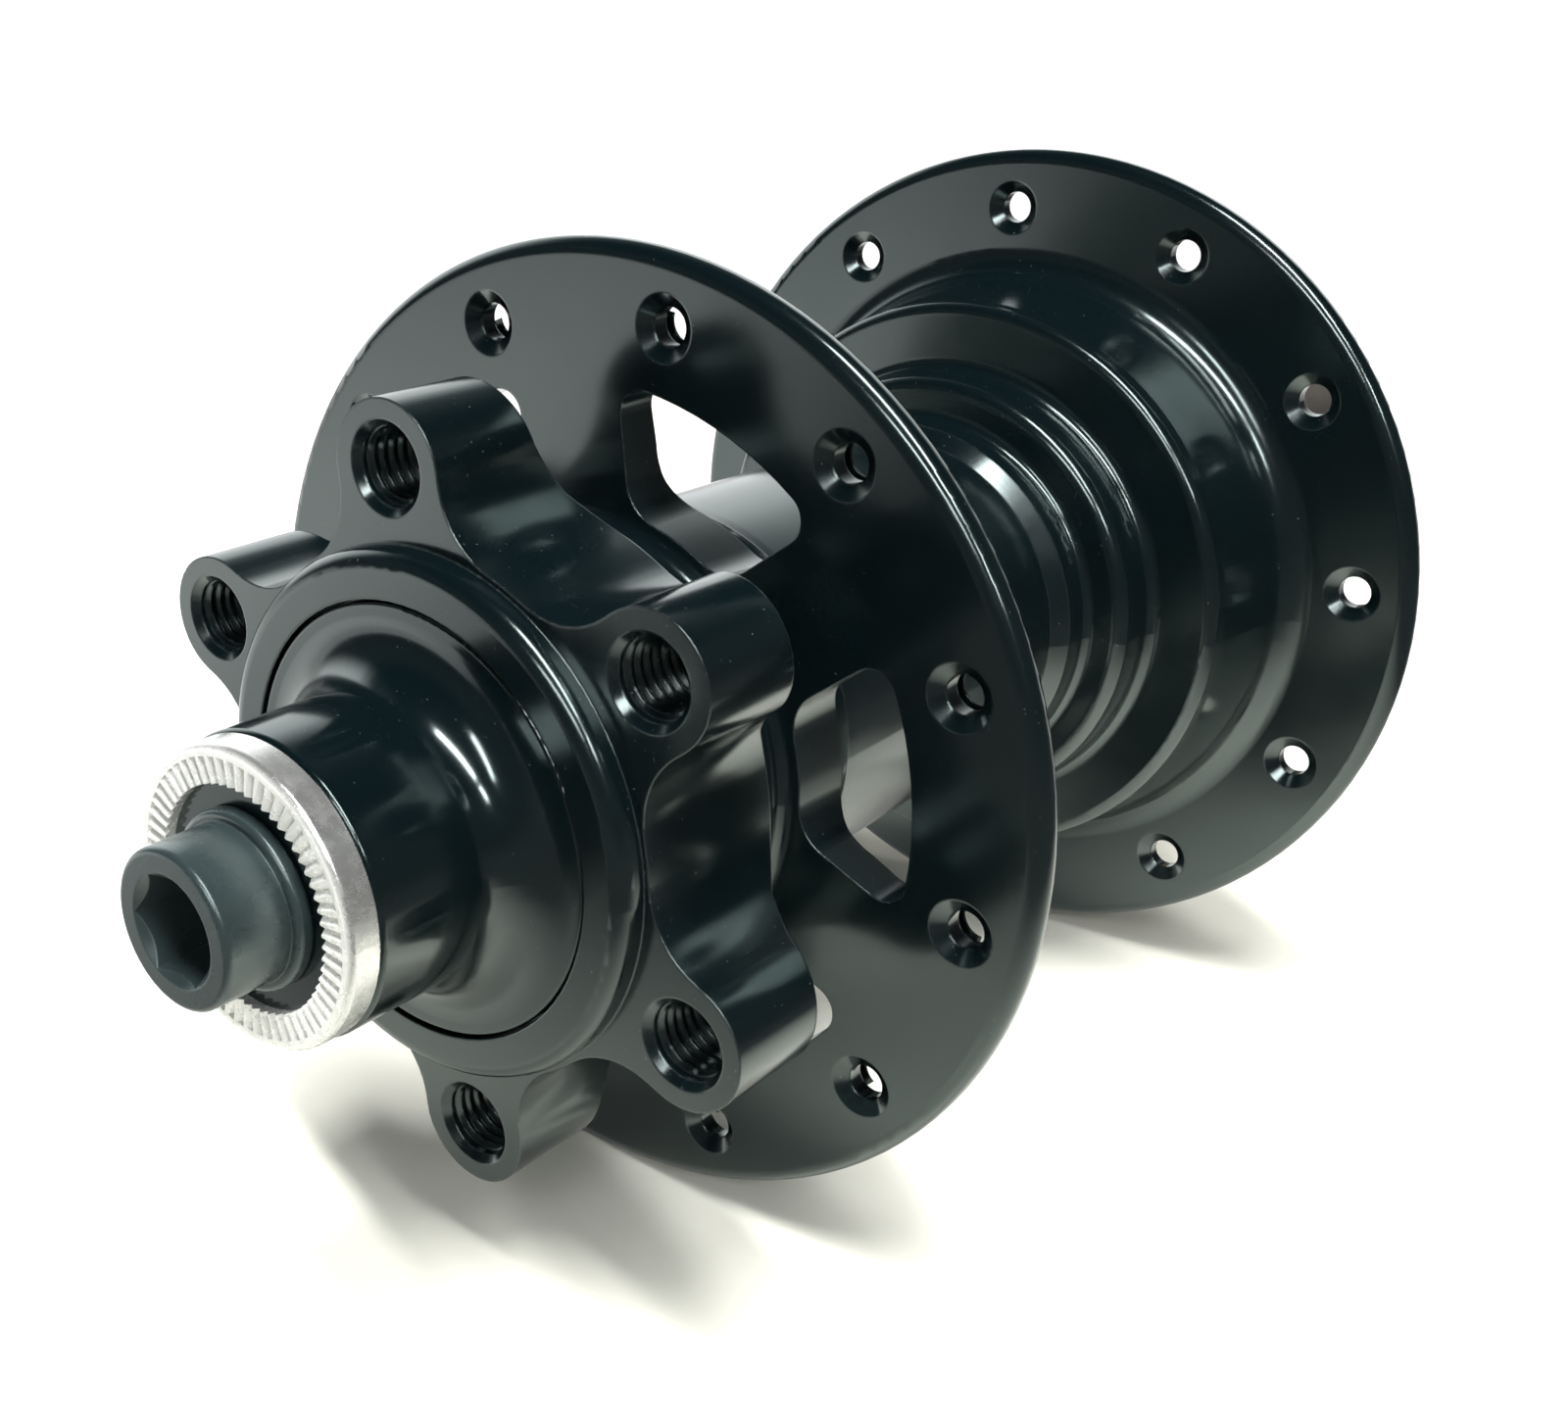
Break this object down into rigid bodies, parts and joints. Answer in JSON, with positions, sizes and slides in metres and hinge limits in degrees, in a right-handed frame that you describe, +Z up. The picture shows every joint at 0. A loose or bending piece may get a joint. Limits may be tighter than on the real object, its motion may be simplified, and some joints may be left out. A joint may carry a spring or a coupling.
{
  "type": "disc brake rear hub",
  "caption": "Black bicycle rear hub with a lugged brake rotor mount, windowed flange, drum body, splined freehub and serrated axle ends.",
  "frame": {"origin": "on the axle's centre line, midway between the two faces that the frame clamps", "axes": "+Y along the axle towards the chain side, -Y towards the brake side, +Z up"},
  "size_m": [0.0688, 0.1448, 0.0688],
  "materials": {
    "axle_steel": "satin",
    "bolt_black": "gloss",
    "cap_black": "gloss",
    "ring_silver": "bright",
    "o_ring_rubber": "matte",
    "spacer_steel": "satin",
    "shell_black": "gloss",
    "ratchet_steel": "satin",
    "seal_rubber": "matte",
    "freehub_grey": "satin",
    "spring_steel": "bright",
    "pawl_steel": "satin",
    "bearing_steel": "polished",
    "ball_steel": "polished",
    "cage_nylon": "matte"
  },
  "bodies": {
    "axle_group": {"axle": "axle_steel", "disc_axle_bolt": "bolt_black", "drive_axle_bolt": "bolt_black", "disc_end_cap": "cap_black", "drive_end_cap": "cap_black", "disc_dropout_ring": "ring_silver", "drive_dropout_ring": "ring_silver", "disc_cap_o_ring": "o_ring_rubber", "drive_cap_o_ring": "o_ring_rubber", "bearing_spacer": "spacer_steel", "freehub_sleeve": "spacer_steel", "disc_bearing_inner": "bearing_steel", "centre_bearing_inner": "bearing_steel", "inboard_bearing_inner": "bearing_steel", "outboard_bearing_inner": "bearing_steel"},
    "shell_group": {"hub_shell": "shell_black", "ratchet_ring": "ratchet_steel", "hub_seal": "seal_rubber", "disc_bearing_outer": "bearing_steel", "disc_bearing_seals": "seal_rubber", "centre_bearing_outer": "bearing_steel", "centre_bearing_seals": "seal_rubber"},
    "freehub_group": {"freehub_body": "freehub_grey", "freehub_snap_ring": "spring_steel", "pawl_springs": "spring_steel", "inboard_bearing_outer": "bearing_steel", "inboard_bearing_seals": "seal_rubber", "outboard_bearing_outer": "bearing_steel", "outboard_bearing_seals": "seal_rubber"},
    "disc_bearing_rollers": {"disc_bearing_balls": "ball_steel", "disc_bearing_cage": "cage_nylon"},
    "centre_bearing_rollers": {"centre_bearing_balls": "ball_steel", "centre_bearing_cage": "cage_nylon"},
    "inboard_bearing_rollers": {"inboard_bearing_balls": "ball_steel", "inboard_bearing_cage": "cage_nylon"},
    "outboard_bearing_rollers": {"outboard_bearing_balls": "ball_steel", "outboard_bearing_cage": "cage_nylon"},
    "pawl_1_group": {"pawl_1": "pawl_steel"},
    "pawl_2_group": {"pawl_2": "pawl_steel"},
    "pawl_3_group": {"pawl_3": "pawl_steel"}
  },
  "joints": [
    {"name": "hub_spin", "type": "hinge", "parent": "axle_group", "child": "shell_group", "pos_m": [0, 0, 0], "axis": [0, 1, 0], "continuous": true},
    {"name": "freehub_spin", "type": "hinge", "parent": "axle_group", "child": "freehub_group", "pos_m": [0, 0, 0], "axis": [0, 1, 0], "continuous": true},
    {"name": "disc_bearing_roll", "type": "hinge", "parent": "axle_group", "child": "disc_bearing_rollers", "pos_m": [0, 0, 0], "axis": [0, 1, 0], "continuous": true},
    {"name": "centre_bearing_roll", "type": "hinge", "parent": "axle_group", "child": "centre_bearing_rollers", "pos_m": [0, 0, 0], "axis": [0, 1, 0], "continuous": true},
    {"name": "inboard_bearing_roll", "type": "hinge", "parent": "axle_group", "child": "inboard_bearing_rollers", "pos_m": [0, 0, 0], "axis": [0, 1, 0], "continuous": true},
    {"name": "outboard_bearing_roll", "type": "hinge", "parent": "axle_group", "child": "outboard_bearing_rollers", "pos_m": [0, 0, 0], "axis": [0, 1, 0], "continuous": true},
    {"name": "pawl_1_tilt", "type": "hinge", "parent": "freehub_group", "child": "pawl_1_group", "pos_m": [0.01282, 0.0173, 0.0074], "axis": [0, 1, 0], "range_deg": [-4, 8.5], "stiffness_Nm_per_rad": 0.001},
    {"name": "pawl_2_tilt", "type": "hinge", "parent": "freehub_group", "child": "pawl_2_group", "pos_m": [-0.01282, 0.0173, 0.0074], "axis": [0, 1, 0], "range_deg": [-4, 8.5], "stiffness_Nm_per_rad": 0.001},
    {"name": "pawl_3_tilt", "type": "hinge", "parent": "freehub_group", "child": "pawl_3_group", "pos_m": [0, 0.0173, -0.0148], "axis": [0, 1, 0], "range_deg": [-4, 8.5], "stiffness_Nm_per_rad": 0.001}
  ],
  "couplings": [
    {"joint": "disc_bearing_roll", "follows": "hub_spin", "ratio": 0.593},
    {"joint": "centre_bearing_roll", "follows": "hub_spin", "ratio": 0.593},
    {"joint": "inboard_bearing_roll", "follows": "freehub_spin", "ratio": 0.5615},
    {"joint": "outboard_bearing_roll", "follows": "freehub_spin", "ratio": 0.5615}
  ]
}
